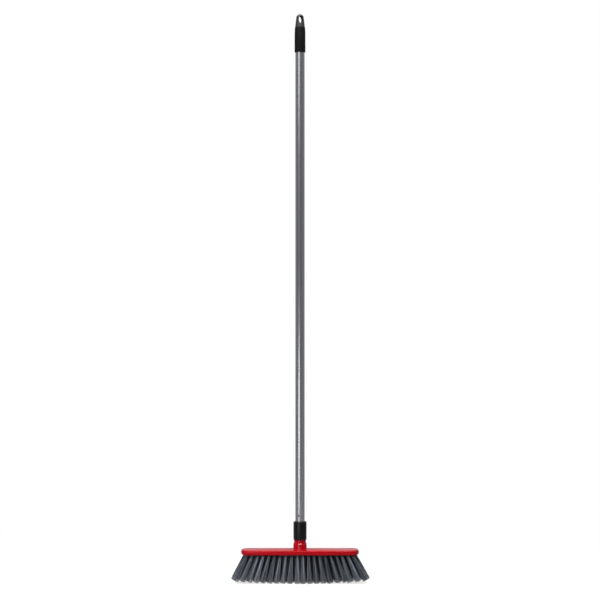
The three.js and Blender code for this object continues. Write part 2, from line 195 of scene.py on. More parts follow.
def face_looking(bm, up):
    """The largest face that looks straight up, or straight down."""
    bm.normal_update()
    flat = [f for f in bm.faces if f.normal.z * (1 if up else -1) > LOOKS_STRAIGHT]
    return max(flat, key=lambda f: f.calc_area())


print("shaping tools are ready")

# %% [markdown]
# ## Handing a piece over
# Every finished mesh goes the same way: welded, with its faces outwards, smooth except where two faces meet at
# a real edge, on the body that carries it in the frame, and in place of the frame's plain parts, which are hidden.

# %% Finish a piece
SHARP_ANGLE = math.radians(32)


def hand_over(bm, name, material, body, stands_for):
    """Makes the object, gives it its finish and lets it ride on its body in place of the frame's parts."""
    piece = loose_object(tidy_up(bm), name)
    piece.data.shade_smooth()
    piece.data.set_sharp_from_angle(angle=SHARP_ANGLE)
    piece.data.materials.append(material)
    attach(piece, body)
    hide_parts(*stands_for)
    piece.data.calc_loop_triangles()
    size = [round(side / MM, 1) for side in piece.dimensions]
    print(name, len(piece.data.loop_triangles), "triangles,", size)


# %% [markdown]
# ## Patterns that several finishes share
# A real surface is never one flat colour. Moulded plastic has a faint skin that breaks up its shine, lacquer has
# fine lines along the tube, and edges that are handled go pale. Each effect is a small node group, made once, so
# that every finish that needs it sets its own scale and strength. A group gives out only masks and heights.

# %% Helpers for nodes
def feed(tree, socket, value):
    """Links a node's input to another node's output, or sets it to a plain value."""
    if isinstance(value, bpy.types.NodeSocket):
        tree.links.new(value, socket)
    else:
        socket.default_value = value


def add_node(tree, kind, settings=None, **values):
    """Adds a shader node. Settings are its own options, and values feed its inputs by name."""
    node = tree.nodes.new("ShaderNode" + kind)
    for key, value in (settings or {}).items():
        setattr(node, key, value)
    for key, value in values.items():
        feed(tree, node.inputs[key.replace("_", " ")], value)
    return node


def calculate(tree, operation, *values, kind="Math"):
    """Adds a Math node, or one of another kind, and feeds its inputs in their order."""
    node = add_node(tree, kind, {"operation": operation})
    for socket, value in zip(node.inputs, values):
        feed(tree, socket, value)
    return node.outputs["Value"]


def spread(tree, value, low, high, to_low, to_high):
    """Maps a value from one range to another, and holds it there."""
    return add_node(tree, "MapRange", Value=value, From_Min=low, From_Max=high, To_Min=to_low,
                    To_Max=to_high).outputs["Result"]


def blend_colours(tree, share, first, second):
    """Mixes two colours. Each is an output of another node, or three numbers."""
    node = add_node(tree, "Mix", {"data_type": "RGBA"}, Factor=share)
    for socket, colour in ((node.inputs[6], first), (node.inputs[7], second)):
        feed(tree, socket, colour if isinstance(colour, bpy.types.NodeSocket) else (*colour, 1))
    return node.outputs[2]


def new_group(name, inputs, outputs):
    """A shader node group with number inputs, given with their defaults, and number outputs."""
    group = bpy.data.node_groups.new(name, "ShaderNodeTree")
    for title, value in inputs:
        socket = group.interface.new_socket(title, in_out="INPUT", socket_type="NodeSocketFloat")
        socket.default_value = value
    for title in outputs:
        group.interface.new_socket(title, in_out="OUTPUT", socket_type="NodeSocketFloat")
    return group, group.nodes.new("NodeGroupInput"), group.nodes.new("NodeGroupOutput")


def use_group(tree, group, **values):
    return add_node(tree, "Group", {"node_tree": group}, **values)


def place_on_piece(tree):
    return add_node(tree, "TexCoord").outputs["Object"]


def add_noise(tree, place, scale, detail):
    return add_node(tree, "TexNoise", Vector=place, Scale=scale, Detail=detail).outputs[0]


print("node helpers are ready")

# %% [markdown]
# The first group is the skin of a moulding. A fine noise is the slight orange peel of the surface, and a broad
# one is the flow of the plastic, which makes one area a little duller than the next.

# %% Moulded skin
moulded_skin, given, wanted = new_group("moulded_skin", [("Grain", 900.0), ("Flow", 14.0)], ["Height", "Cloud"])
place = place_on_piece(moulded_skin)
peel = add_noise(moulded_skin, place, given.outputs["Grain"], 2.0)
cloud = add_noise(moulded_skin, place, given.outputs["Flow"], 4.0)
moulded_skin.links.new(peel, wanted.inputs["Height"])
moulded_skin.links.new(cloud, wanted.inputs["Cloud"])
print("group", moulded_skin.name, "gives", [socket.name for socket in wanted.inputs if socket.name])

# %% [markdown]
# The second group draws lines along Z. It squeezes a noise across the piece and stretches it along, as the
# drawing of a tube and the brushing on of lacquer do. The tube and the rivets both use it.

# %% Drawn lines
drawn_lines, given, wanted = new_group("drawn_lines", [("Across", 1400.0), ("Along", 6.0)], ["Line", "Wave"])
place = place_on_piece(drawn_lines)
parts = add_node(drawn_lines, "SeparateXYZ", Vector=place).outputs
stretched = add_node(drawn_lines, "CombineXYZ")
for axis, scale in (("X", "Across"), ("Y", "Across"), ("Z", "Along")):
    squeezed = calculate(drawn_lines, "MULTIPLY", parts[axis], given.outputs[scale])
    drawn_lines.links.new(squeezed, stretched.inputs[axis])
line = add_noise(drawn_lines, stretched.outputs["Vector"], 1.0, 3.0)
wave = add_noise(drawn_lines, place, given.outputs["Along"], 1.0)
drawn_lines.links.new(line, wanted.inputs["Line"])
drawn_lines.links.new(wave, wanted.inputs["Wave"])
print("group", drawn_lines.name, "is made")

# %% [markdown]
# The third group finds edges. The Bevel node gives the normal that the surface would have if its edges were
# rounded off, and where that leaves the real normal there is an edge. A noise breaks the mark up, because
# hands and floors never rub an edge evenly.

# %% Rubbed edges
FLAT_AGREES, EDGE_AGREES = 0.995, 0.93
PATCH_FROM, PATCH_TO = 0.45, 0.7

rubbed_edges, given, wanted = new_group("rubbed_edges", [("Reach", 0.0006), ("Patches", 160.0)], ["Rub"])
rounded = add_node(rubbed_edges, "Bevel", {"samples": 4}, Radius=given.outputs["Reach"]).outputs["Normal"]
flat = add_node(rubbed_edges, "NewGeometry").outputs["Normal"]
agree = calculate(rubbed_edges, "DOT_PRODUCT", rounded, flat, kind="VectorMath")
edge = spread(rubbed_edges, agree, FLAT_AGREES, EDGE_AGREES, 0.0, 1.0)
patch = add_noise(rubbed_edges, place_on_piece(rubbed_edges), given.outputs["Patches"], 3.0)
patches = spread(rubbed_edges, patch, PATCH_FROM, PATCH_TO, 0.0, 1.0)
rubbed_edges.links.new(calculate(rubbed_edges, "MULTIPLY", edge, patches), wanted.inputs["Rub"])
print("group", rubbed_edges.name, "is made")

# %% [markdown]
# ## The finishes
# Each finish is a Principled shader. Numbers that are the same all over stand on its own sockets, and only what
# changes over the surface is linked. Colours are written as the eye reads them and turned into linear light. Most
# of a noise lies between the two limits that are named first.

# %% A bare finish
NOISE_LOW, NOISE_HIGH = 0.3, 0.7


def seen(red, green, blue):
    """A colour as it looks on a screen, 0 to 255, as linear light."""
    shares = [channel / 255 for channel in (red, green, blue)]
    return tuple(s / 12.92 if s <= 0.04045 else ((s + 0.055) / 1.055) ** 2.4 for s in shares)


def bare_finish(name, **values):
    """A material with one Principled shader, whose plain numbers are set on its own sockets."""
    material = bpy.data.materials.new(name)
    material.use_nodes = True
    shader = material.node_tree.nodes["Principled BSDF"]
    for key, value in values.items():
        shader.inputs[key.replace("_", " ")].default_value = value
    return material, material.node_tree, shader


def bump(tree, shader, height, distance):
    """Lets a height in 0 to 1 raise the surface by a distance in metres."""
    node = add_node(tree, "Bump", Strength=1.0, Distance=distance, Height=height)
    tree.links.new(node.outputs["Normal"], shader.inputs["Normal"])


def drift(tree, noise, low, high):
    """Turns a noise into a value that drifts between two limits."""
    return spread(tree, noise, NOISE_LOW, NOISE_HIGH, low, high)


print("finish helpers are ready")

# %% [markdown]
# ### Moulded plastics
# The cover is a glossy red moulding with a clean, wet shine. The ferrule, the plug, the block, the cap and the
# grip are the same family in other colours, so one function makes them all: a body colour and a shine that both
# drift with the flow, a fine skin, and pale rubbed edges where the piece is handled.

# %% Plastic finishes
def plastic(name, colour, deep, rough, grain, depth, specular, rub_to=None, rub=0.0):
    """Moulded plastic between two near colours, from a low to a high roughness."""
    material, tree, shader = bare_finish(name, Specular_IOR_Level=specular)
    skin = use_group(tree, moulded_skin, Grain=grain)
    body = blend_colours(tree, drift(tree, skin.outputs["Cloud"], 0.0, 1.0), deep, colour)
    if rub_to:
        worn = use_group(tree, rubbed_edges)
        share = calculate(tree, "MULTIPLY", worn.outputs["Rub"], rub)
        body = blend_colours(tree, share, body, rub_to)
    tree.links.new(body, shader.inputs["Base Color"])
    tree.links.new(drift(tree, skin.outputs["Cloud"], *rough), shader.inputs["Roughness"])
    bump(tree, shader, skin.outputs["Height"], depth)
    return material


glossy_red = plastic("glossy_red", seen(158, 0, 17), seen(149, 0, 13), (0.15, 0.23), 700.0, 0.004 * MM, 0.12,
                     seen(206, 60, 70), 0.3)
satin_black = plastic("satin_black", seen(10, 9, 11), seen(6, 6, 7), (0.28, 0.38), 1200.0, 0.02 * MM, 0.14,
                      seen(70, 70, 72), 0.4)
block_black = plastic("block_black", seen(26, 25, 28), seen(16, 15, 18), (0.5, 0.65), 1200.0, 0.04 * MM, 0.2)
plug_black = plastic("plug_black", seen(22, 21, 24), seen(14, 13, 16), (0.4, 0.5), 1200.0, 0.02 * MM, 0.2)
cap_grey = plastic("cap_grey", seen(30, 30, 33), seen(23, 23, 26), (0.36, 0.46), 1500.0, 0.03 * MM, 0.4,
                   seen(104, 104, 106), 0.4)
grip_black = plastic("grip_black", seen(9, 8, 10), seen(5, 5, 6), (0.46, 0.58), 2200.0, 0.05 * MM, 0.12,
                     seen(50, 50, 52), 0.4)
print("plastics:", [m.name for m in (glossy_red, satin_black, block_black, plug_black, cap_grey, grip_black)])

# %% [markdown]
# ### Lacquered steel
# The handle is a thin steel tube under grey lacquer with metal flake in it. It shines as metal does, in one long
# soft streak, but darker. Fine lines run along the tube, and a slow wave in the wall makes the streak waver a
# little. The clear coat is as soft as the flake under it, since a sharp one would draw a second, thin streak.

# %% Steel finishes
COAT_ROUGH = 0.3


def drawn_metal(name, colour, deep, rough, metallic, wave_depth, coat):
    """Metal or metallic lacquer with lines along Z and a slow wave in its surface."""
    material, tree, shader = bare_finish(name, Metallic=metallic, Coat_Weight=coat, Coat_Roughness=COAT_ROUGH)
    drawn = use_group(tree, drawn_lines)
    lines = drift(tree, drawn.outputs["Line"], 0.0, 1.0)
    tree.links.new(blend_colours(tree, lines, deep, colour), shader.inputs["Base Color"])
    tree.links.new(drift(tree, drawn.outputs["Line"], *rough), shader.inputs["Roughness"])
    bump(tree, shader, drawn.outputs["Wave"], wave_depth)
    return material


flake_lacquer = drawn_metal("flake_lacquer", seen(136, 137, 140), seen(125, 126, 130), (0.28, 0.34), 0.9,
                            0.25 * MM, 0.2)
dull_steel = drawn_metal("dull_steel", seen(92, 94, 97), seen(70, 72, 75), (0.35, 0.5), 1.0, 0.02 * MM, 0.0)
print("metals:", flake_lacquer.name, dull_steel.name)

# %% [markdown]
# ### Bristle fibre
# The filaments are thin plastic, dark grey with a blue cast. Two numbers ride on each corner of the mesh: how
# far along its filament it lies, and the tone of that filament, from nearly black to pale. They keep neighbouring
# filaments apart, turn the split tips a warmer grey and darken the roots, which stand in the shade of the cover.

# %% Bristle finish
SPLIT_FROM, SPLIT_SHARE = 0.62, 0.7
SHADE_FROM, SHADE_TO, SHADE_SHARE = 0.15, 0.06, 0.9
FIBRE_ROUGH = (0.38, 0.55)


def read_attribute(tree, name):
    node = add_node(tree, "Attribute", {"attribute_name": name, "attribute_type": "GEOMETRY"})
    return node.outputs["Fac"]


fibre, tree, shader = bare_finish("fibre", Specular_IOR_Level=0.35)
tone, along = read_attribute(tree, "tone"), read_attribute(tree, "along")
filament = blend_colours(tree, tone, seen(15, 18, 23), seen(147, 156, 168))
tip_share = calculate(tree, "MULTIPLY", spread(tree, along, SPLIT_FROM, 1.0, 0.0, SPLIT_SHARE), tone)
filament = blend_colours(tree, tip_share, filament, seen(116, 114, 115))
root_share = spread(tree, along, SHADE_FROM, SHADE_TO, 0.0, SHADE_SHARE)
filament = blend_colours(tree, root_share, filament, seen(8, 8, 10))
tree.links.new(filament, shader.inputs["Base Color"])
tree.links.new(spread(tree, tone, 0.0, 1.0, *FIBRE_ROUGH), shader.inputs["Roughness"])
print("fibre finish reads tone and along")

# %% [markdown]
# ## The cover
# The cover is one moulding: a shallow rounded box, open below, with a neck on top. It starts as a slab whose
# upright edges are bevelled to the corner radius. Its top face is drawn in over a quarter round and then a slow
# crown, and its bottom face is drawn in to the tuck, the rim and the cavity, so no edge is left as cut.

# %% Shape the shell of the cover
COVER_HEIGHT = 12.5 * MM
COVER_CORNER = 21 * MM
CORNER_STEPS = 18
FINE_STEPS, COARSE_STEPS = 8, 3
CROWN = 0.8 * MM
CROWN_SHARE = 0.9
TOP_FILLET = 3 * MM
TUCK_WIDTH, TUCK_HEIGHT = 3 * MM, 5 * MM
RIM_WIDTH = 4.4 * MM
RIM_EDGE = 0.4 * MM
TOP_PLATE = 2.4 * MM

COVER_TOP = cover_low.z + COVER_HEIGHT


def rounded_slab(length, depth, corner, bottom, top):
    """A slab about the Z axis whose four upright edges are round."""
    bm = bmesh.new()
    bmesh.ops.create_cube(bm, size=1)
    bmesh.ops.scale(bm, vec=(length, depth, top - bottom), verts=bm.verts)
    bmesh.ops.translate(bm, vec=(0, 0, (top + bottom) / 2), verts=bm.verts)
    upright = [e for e in bm.edges if abs(e.verts[0].co.z - e.verts[1].co.z) > (top - bottom) / 2]
    bmesh.ops.bevel(bm, geom=upright, offset=corner, offset_type="OFFSET", affect="EDGES",
                    segments=CORNER_STEPS, profile=0.5, material=-1)
    return bm


def make_shell():
    side_top = COVER_TOP - CROWN
    size = cover_high - cover_low
    bm = rounded_slab(size.x, size.y, COVER_CORNER, cover_low.z + TUCK_HEIGHT, side_top - TOP_FILLET)
    top, bottom = face_looking(bm, True), face_looking(bm, False)
    draw_in(bm, top, quarter_round(TOP_FILLET, TOP_FILLET, FINE_STEPS))
    draw_in(bm, top, quarter_round(CROWN_SHARE * (COVER_CORNER - TOP_FILLET), CROWN))
    draw_in(bm, bottom, quarter_round(TUCK_WIDTH - RIM_EDGE, TUCK_HEIGHT - RIM_EDGE, FINE_STEPS))
    draw_in(bm, bottom, quarter_round(RIM_EDGE, RIM_EDGE, COARSE_STEPS))
    draw_in(bm, bottom, [(RIM_WIDTH - TUCK_WIDTH - RIM_EDGE, 0), (RIM_EDGE, -RIM_EDGE)])
    push(bm, bottom, -(COVER_HEIGHT - TOP_PLATE - RIM_EDGE))
    return tidy_up(bm)


shell = make_shell()
print("the shell has", len(shell.faces), "faces")

# %% [markdown]
# ## The screw
# Handle and head are joined by a coarse right-hand thread. Its ridge is one four-sided section, carried round the
# axis and lifted a little at each step: that is what a spin with an upward shift does. The plug wears the ridge
# outside, and the neck has the same ridge cut into it, a little larger, so that the two turn freely.

# %% Make the ridge of the thread
THREAD_PITCH = 5 * MM
THREAD_CREST = 10.7 * MM
THREAD_DEPTH = 2.1 * MM
THREAD_CREST_WIDTH = 1.3 * MM
THREAD_FLANK = 1.1 * MM
THREAD_PLAY = 0.4 * MM
THREAD_LENGTH = 26 * MM
THREAD_RUNOUT = 2 * MM
THREAD_TURNS = 9
THREAD_STEPS = 36
THREAD_START = MOUTH - (THREAD_TURNS - 1) * THREAD_PITCH
THREAD_ROOT = THREAD_CREST - THREAD_DEPTH
SINK = 0.5 * MM


def thread_ridge(play):
    """The ridge, grown all round by the play, with its foot sunk into the core that carries it."""
    crest = THREAD_CREST + play
    foot = THREAD_ROOT + play - SINK
    at_crest = THREAD_CREST_WIDTH / 2 + play
    at_foot = at_crest + THREAD_FLANK
    bm = bmesh.new()
    corners = [(foot, -at_foot), (crest, -at_crest), (crest, at_crest), (foot, at_foot)]
    section = bm.faces.new([bm.verts.new((radius, 0, THREAD_START + rise)) for radius, rise in corners])
    bmesh.ops.spin(bm, geom=section.verts[:] + section.edges[:] + [section], cent=(0, 0, 0), axis=(0, 0, 1),
                   dvec=(0, 0, THREAD_PITCH / THREAD_STEPS), angle=2 * math.pi * THREAD_TURNS,
                   steps=THREAD_STEPS * THREAD_TURNS)
    bmesh.ops.holes_fill(bm, edges=[e for e in bm.edges if e.is_boundary], sides=len(corners))
    return tidy_up(bm)


ridge = thread_ridge(0)
print("the ridge has", len(ridge.faces), "faces, open edges:", sum(e.is_boundary for e in ridge.edges))
ridge.free()

# %% [markdown]
# ## The neck
# The neck is turned as one outline, a collar, a short cone and a plain tube, with a hollow fillet where it meets
# the cover, and then joined to the shell. The outline runs on outwards at a shallow slope under the crown, so the
# fillet runs out into the top face. A plain bore and the thread are cut last, and the mouth gets a lead-in.

# %% Turn the neck and join it to the shell
COLLAR_RADIUS = 16.7 * MM
COLLAR_HEIGHT = 13 * MM
COLLAR_FILLET = 2.5 * MM
SHOULDER_HEIGHT = 3 * MM
NECK_RADIUS = 14.7 * MM
MOUTH_CHAMFER = 1 * MM
SOFT_EDGE = 0.5 * MM
SKIRT_REACH, SKIRT_DROP = 9 * MM, 0.7 * MM
OVERRUN = 1.5 * MM


def make_neck():
    buried = COVER_TOP - TOP_PLATE / 2
    outline = [
        (0, buried),
        (COLLAR_RADIUS + SKIRT_REACH, buried),
        (COLLAR_RADIUS + SKIRT_REACH, COVER_TOP - SKIRT_DROP),
        (COLLAR_RADIUS, COVER_TOP, COLLAR_FILLET),
        (COLLAR_RADIUS, COVER_TOP + COLLAR_HEIGHT, SOFT_EDGE),
        (NECK_RADIUS, COVER_TOP + COLLAR_HEIGHT + SHOULDER_HEIGHT, SOFT_EDGE),
        (NECK_RADIUS, MOUTH, SOFT_EDGE),
        (0, MOUTH),
    ]
    return turn_on_lathe(outline, closed=False)


def neck_socket():
    """What is taken out of the neck: a bore, closed below, with its thread and a flared mouth."""
    bottom, over = MOUTH - THREAD_LENGTH - THREAD_RUNOUT, MOUTH + OVERRUN
    narrow, wide = THREAD_ROOT + THREAD_PLAY, THREAD_CREST + THREAD_PLAY
    bore = turn_on_lathe([(0, COVER_TOP), (THREAD_ROOT, COVER_TOP), (THREAD_ROOT, bottom), (narrow, bottom),
                          (narrow, over), (0, over)], closed=False)
    room = turn_on_lathe([(0, bottom), (wide + OVERRUN, bottom), (wide + OVERRUN, over), (0, over)],
                         closed=False)
    ridge = carve(thread_ridge(THREAD_PLAY), room, "INTERSECT")
    lead = turn_on_lathe([(0, MOUTH - MOUTH_CHAMFER), (wide, MOUTH - MOUTH_CHAMFER),
                          (wide + MOUTH_CHAMFER, MOUTH), (wide + MOUTH_CHAMFER, over), (0, over)], closed=False)
    return carve(carve(bore, ridge, "UNION"), lead, "UNION")


cover = carve(carve(shell, make_neck(), "UNION"), neck_socket(), "DIFFERENCE")
hand_over(cover, "cover_moulding", glossy_red, "head", ["head_cover"])

# %% [markdown]
# ## Where the tufts stand
# Four rows of tufts are set in the block, each row shifted by half a pitch against the next. Towards the ends
# they lean outwards along the head, and the outer rows lean forwards or backwards, so that the brush fans out.

# %% Lay out the tufts
TUFT_PITCH = 13.6 * MM
ROW_MARGIN = 5.3 * MM
ROWS = ["bristles_front", "bristles_mid_front", "bristles_mid_rear", "bristles_rear"]
ROW_COUNTS = [20, 21, 20, 19]
BLOCK_EDGE = RIM_WIDTH + SEAT_GAP
BLOCK_HALF_LENGTH = cover_high.x - BLOCK_EDGE
BLOCK_HALF_DEPTH = cover_high.y - BLOCK_EDGE
END_LEAN = math.radians(27)
SIDE_LEAN = math.radians(15)


def tuft_places(row):
    """Root and lean of each tuft in a row: x, y, lean along X and lean along Y."""
    pitch = (2 * BLOCK_HALF_DEPTH - 2 * ROW_MARGIN) / (len(ROWS) - 1)
    y = (row - (len(ROWS) - 1) / 2) * pitch
    places = []
    for i in range(ROW_COUNTS[row]):
        x = (i - (ROW_COUNTS[row] - 1) / 2) * TUFT_PITCH
        places.append((x, y, END_LEAN * x / BLOCK_HALF_LENGTH, SIDE_LEAN * y / BLOCK_HALF_DEPTH))
    return places


def is_inside(row, number):
    """Whether a tuft has other tufts all round it."""
    return "mid" in ROWS[row] and 0 < number < ROW_COUNTS[row] - 1


print("tufts in each row:", [len(tuft_places(row)) for row in range(len(ROWS))])

# %% [markdown]
# ## The block
# Under the cover sits the block, a plain plate that holds the tufts. It is drilled once for each tuft, and each
# hole has a small countersink. The tufts inside are thicker at the root, so there are two turned drill bits. They
# are copied to all the holes, and a single cut makes them.

# %% Drill the block
OUTER_ROOT, INNER_ROOT = 2.2 * MM, 3.5 * MM
HOLE_PLAY = 0.3 * MM
HOLE_DEPTH = 6 * MM
COUNTERSINK = 0.5 * MM
DRILL_STEPS = 18
BLOCK_CHAMFER = 0.4 * MM


def drill_bit(root):
    """A bit for a root of the given radius, as a mesh with its point up."""
    hole = root + HOLE_PLAY
    wide = hole + COUNTERSINK
    outline = [(0, -OVERRUN), (wide, -OVERRUN), (wide, 0), (hole, COUNTERSINK), (hole, HOLE_DEPTH),
               (0, HOLE_DEPTH)]
    return as_mesh(turn_on_lathe(outline, closed=False, steps=DRILL_STEPS), "bit")


def make_block():
    plate = rounded_slab(2 * BLOCK_HALF_LENGTH, 2 * BLOCK_HALF_DEPTH, COVER_CORNER - BLOCK_EDGE,
                         BLOCK_FACE + BLOCK_CHAMFER, block_high.z)
    draw_in(plate, face_looking(plate, False), [(BLOCK_CHAMFER, BLOCK_CHAMFER)])
    bits = [drill_bit(OUTER_ROOT), drill_bit(INNER_ROOT)]
    drills = bmesh.new()
    for row in range(len(ROWS)):
        for number, (x, y, *_) in enumerate(tuft_places(row)):
            copy = bits[is_inside(row, number)].copy()
            copy.transform(Matrix.Translation((x, y, BLOCK_FACE)))
            drills.from_mesh(copy)
            bpy.data.meshes.remove(copy)
    for bit in bits:
        bpy.data.meshes.remove(bit)
    return carve(plate, drills, "DIFFERENCE")


hand_over(make_block(), "drilled_block", block_black, "head", ["tuft_block"])

# %% [markdown]
# ## A tuft
# A tuft is a bundle of fine filaments, folded in half over a staple and pulled into its hole, so it leaves the
# block tight and round and opens towards the tips. There it gathers in clumps, each of its own tone, some
# filaments stop short and a few stray. Each filament starts as a small triangle, and all of them are extruded
# together, level by level, so that the whole tuft takes only a few operators. A few different tufts are made, with
# a narrow and with a thick root, and reused.

# %% Grow a tuft
FILAMENTS = 240
FILAMENT_RADIUS = 0.19 * MM
TIP_THINNING = 0.4
ROOT_DEPTH = 3 * MM
TIP_RADIUS = 7.9 * MM
TUFT_LENGTH = BLOCK_FACE
TIP_ROUNDING = 1.2 * MM
TIP_FRAY = 3.4 * MM
BEND = 0.8 * MM
SWING = 0.45 * MM
JITTER = 0.5 * MM
STRAY_CHANCE = 0.035
STRAY_REACH = 3.2 * MM
CLUMPS = 9
CLUMP_REACH = (0.2, 0.85)
CLUMP_PULL = 0.5
OWN_TONE = 0.35
DARK_BIAS = 3.8
LEVELS = [0.28, 0.55, 0.8, 1.0]
GOLDEN_TURN = math.radians(137.5)


def around(radius, angle):
    return Vector((radius * math.cos(angle), radius * math.sin(angle), 0))


def plan_filament(number, dice, clumps, root_radius):
    """The line of one filament, by the share of its length, and its tone, near that of its clump."""
    share = math.sqrt((number + 0.5) / FILAMENTS)
    angle = number * GOLDEN_TURN
    root = around(root_radius * share, angle) + Vector((0, 0, ROOT_DEPTH))
    tip = around(TIP_RADIUS * share, angle)
    nearest = min(clumps, key=lambda clump: (clump - tip).length)
    tip = tip.lerp(nearest, CLUMP_PULL * dice.random())
    tip += around(JITTER * dice.random(), dice.uniform(0, 2 * math.pi))
    if dice.random() < STRAY_CHANCE:
        tip += around(STRAY_REACH * dice.random(), angle)
    short = TIP_ROUNDING * share**2 + TIP_FRAY * dice.random() ** 2
    tip.z = short - TUFT_LENGTH
    bend = around(BEND * dice.uniform(-1, 1), dice.uniform(0, 2 * math.pi))
    swing = around(SWING * dice.uniform(-1, 1), dice.uniform(0, 2 * math.pi))

    def line(t):
        return root.lerp(tip, t) + bend * math.sin(math.pi * t) + swing * math.sin(2 * math.pi * t)

    return line, clumps[nearest] + (dice.random() - clumps[nearest]) * OWN_TONE


def grow_tuft(seed, root_radius):
    """One upright tuft that leaves its hole at the origin and hangs down."""
    dice = random.Random(seed)
    clumps = {}
    for i in range(CLUMPS):
        middle = around(TIP_RADIUS * dice.uniform(*CLUMP_REACH), i * GOLDEN_TURN).freeze()
        clumps[middle] = ((i + dice.random()) / CLUMPS) ** DARK_BIAS
    plans = [plan_filament(number, dice, clumps, root_radius) for number in range(FILAMENTS)]
    bm = bmesh.new()
    tone = bm.verts.layers.float.new("tone")
    along = bm.verts.layers.float.new("along")
    number_of = bm.faces.layers.int.new("filament")
    for number, (line, shade) in enumerate(plans):
        ring = bmesh.ops.create_circle(bm, cap_ends=True, segments=3, radius=FILAMENT_RADIUS,
                                       matrix=Matrix.Translation(line(0)) @ Matrix.Rotation(number, 4, "Z"))
        for vert in ring["verts"]:
            vert[tone] = shade
        ring["verts"][0].link_faces[0][number_of] = number
    ends, previous = bm.faces[:], 0.0
    for level in LEVELS:
        ends = bmesh.ops.extrude_discrete_faces(bm, faces=ends)["faces"]
        thinner = (1 - (1 - TIP_THINNING) * level) / (1 - (1 - TIP_THINNING) * previous)
        for face in ends:
            line = plans[face[number_of]][0]
            start, end = line(previous), line(level)
            for vert in face.verts:
                vert.co = end + (vert.co - start) * thinner
                vert[along] = level
        previous = level
    bmesh.ops.holes_fill(bm, edges=[e for e in bm.edges if e.is_boundary], sides=3)
    bm.faces.layers.int.remove(bm.faces.layers.int["filament"])
    bmesh.ops.recalc_face_normals(bm, faces=bm.faces)
    return as_mesh(bm, "tuft")


TUFT_KINDS = 6
tuft_kinds = [[grow_tuft(seed, root) for seed in range(TUFT_KINDS)] for root in (OUTER_ROOT, INNER_ROOT)]
print("each of", 2 * TUFT_KINDS, "kinds of tuft has", len(tuft_kinds[0][0].polygons), "faces")

# %% [markdown]
# ## The rows
# A row is a line of tufts. Each copy is turned on its own axis, so that no two look alike, tilted along the head
# and sheared towards the front or the back, which keeps its tips at floor height. Tips that would dip below the
# floor are flattened on it, as they are on a broom that stands. Between the front tufts it should look nearly
# black, so the tufts inside get near-black tones, which are painted shade for the deep inside of the brush, and
# are of the kinds with a thick root. The last ones of the middle rows, which are seen from outside, get neither.

# %% Set the rows
UNEVEN_ROOT = 0.12 * MM
UNEVEN_LEAN = math.radians(0.9)
TUFT_TONE = 0.08
ROW_SEED = 100
# The inner tones are near black: painted shade for the tufts deep inside the brush.
OUTER_TONES, INNER_SHADE_TONES, END_TONES = (0.04, 0.92), (0.0, 0.22), (0.04, 0.8)


def set_tuft(place, turn):
    """The matrix that puts an upright tuft into its hole with its lean."""
    x, y, lean_x, lean_y = place
    shear = Matrix.Identity(4)
    shear[1][2] = -math.tan(lean_y)
    return (
        Matrix.Translation((x, y, BLOCK_FACE))
        @ shear
        @ Matrix.Rotation(-lean_x, 4, "Y")
        @ Matrix.Rotation(turn, 4, "Z")
    )


def make_row(row, low, high):
    """All the tufts of a row, kept between the corners of the frame's own row."""
    dice = random.Random(ROW_SEED + row)
    bm = bmesh.new()
    for number, (x, y, lean_x, lean_y) in enumerate(tuft_places(row)):
        place = (x + dice.gauss(0, UNEVEN_ROOT), y + dice.gauss(0, UNEVEN_ROOT),
                 lean_x + dice.gauss(0, UNEVEN_LEAN), lean_y + dice.gauss(0, UNEVEN_LEAN))
        copy = dice.choice(tuft_kinds[is_inside(row, number)]).copy()
        copy.transform(set_tuft(place, dice.uniform(0, 2 * math.pi)))
        darkest, palest = OUTER_TONES
        if "mid" in ROWS[row]:
            # Tufts inside take the near-black tones of painted shade; the end ones of the middle rows do not.
            darkest, palest = INNER_SHADE_TONES if is_inside(row, number) else END_TONES
        shift = dice.uniform(-TUFT_TONE, TUFT_TONE)
        for tone in copy.attributes["tone"].data:
            tone.value = darkest + (palest - darkest) * (tone.value + shift)
        bm.from_mesh(copy)
        bpy.data.meshes.remove(copy)
    for vert in bm.verts:
        for axis in range(2):
            vert.co[axis] = min(max(vert.co[axis], low[axis]), high[axis])
        vert.co.z = max(vert.co.z, 0)
    return bm


for row, node in enumerate(ROWS):
    tufts = make_row(row, *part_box(node))
    hand_over(tufts, node.replace("bristles", "tufts"), fibre, "head", [node])
for kind in tuft_kinds[0] + tuft_kinds[1]:
    bpy.data.meshes.remove(kind)

# %% [markdown]
# ## The ferrule
# The ferrule is the black sleeve that hides the joint. It is turned from one outline: a skirt that slides round
# the neck, a ledge that rests on the flange of the plug, and a rounded shoulder that closes on the tube.

# %% Turn the ferrule
FERRULE_SHOULDER = 4.2 * MM
FERRULE_EDGE = 0.6 * MM
SKIRT_RADIUS = NECK_RADIUS + SEAT_GAP
ferrule_radius = ferrule_high.x
bore_radius = TUBE_RADIUS + SEAT_GAP
ferrule_outline = [
    (SKIRT_RADIUS, ferrule_low.z, FERRULE_EDGE / 2),
    (ferrule_radius, ferrule_low.z, FERRULE_EDGE),
    (ferrule_radius, ferrule_high.z, FERRULE_SHOULDER),
    (bore_radius, ferrule_high.z, FERRULE_EDGE / 3),
    (bore_radius, tube_low.z),
    (SKIRT_RADIUS, tube_low.z),
]
hand_over(turn_on_lathe(ferrule_outline), "ferrule_sleeve", satin_black, "ferrule", ["ferrule"])

# %% [markdown]
# ## The plug
# The plug closes the lower end of the tube. Above its flange a spigot fits the tube, below it hangs the screw.
# The ridge is trimmed to the screw's length, with a chamfer at its tip, and joined to the turned body.

# %% Make the plug
FLANGE_THICKNESS = 2.5 * MM
PLUG_CORE = 5.5 * MM
PLUG_ROOF = 5 * MM
TIP_CHAMFER = 1.6 * MM
TUBE_WALL = 0.5 * MM
SPIGOT_RADIUS = TUBE_RADIUS - TUBE_WALL - SEAT_GAP


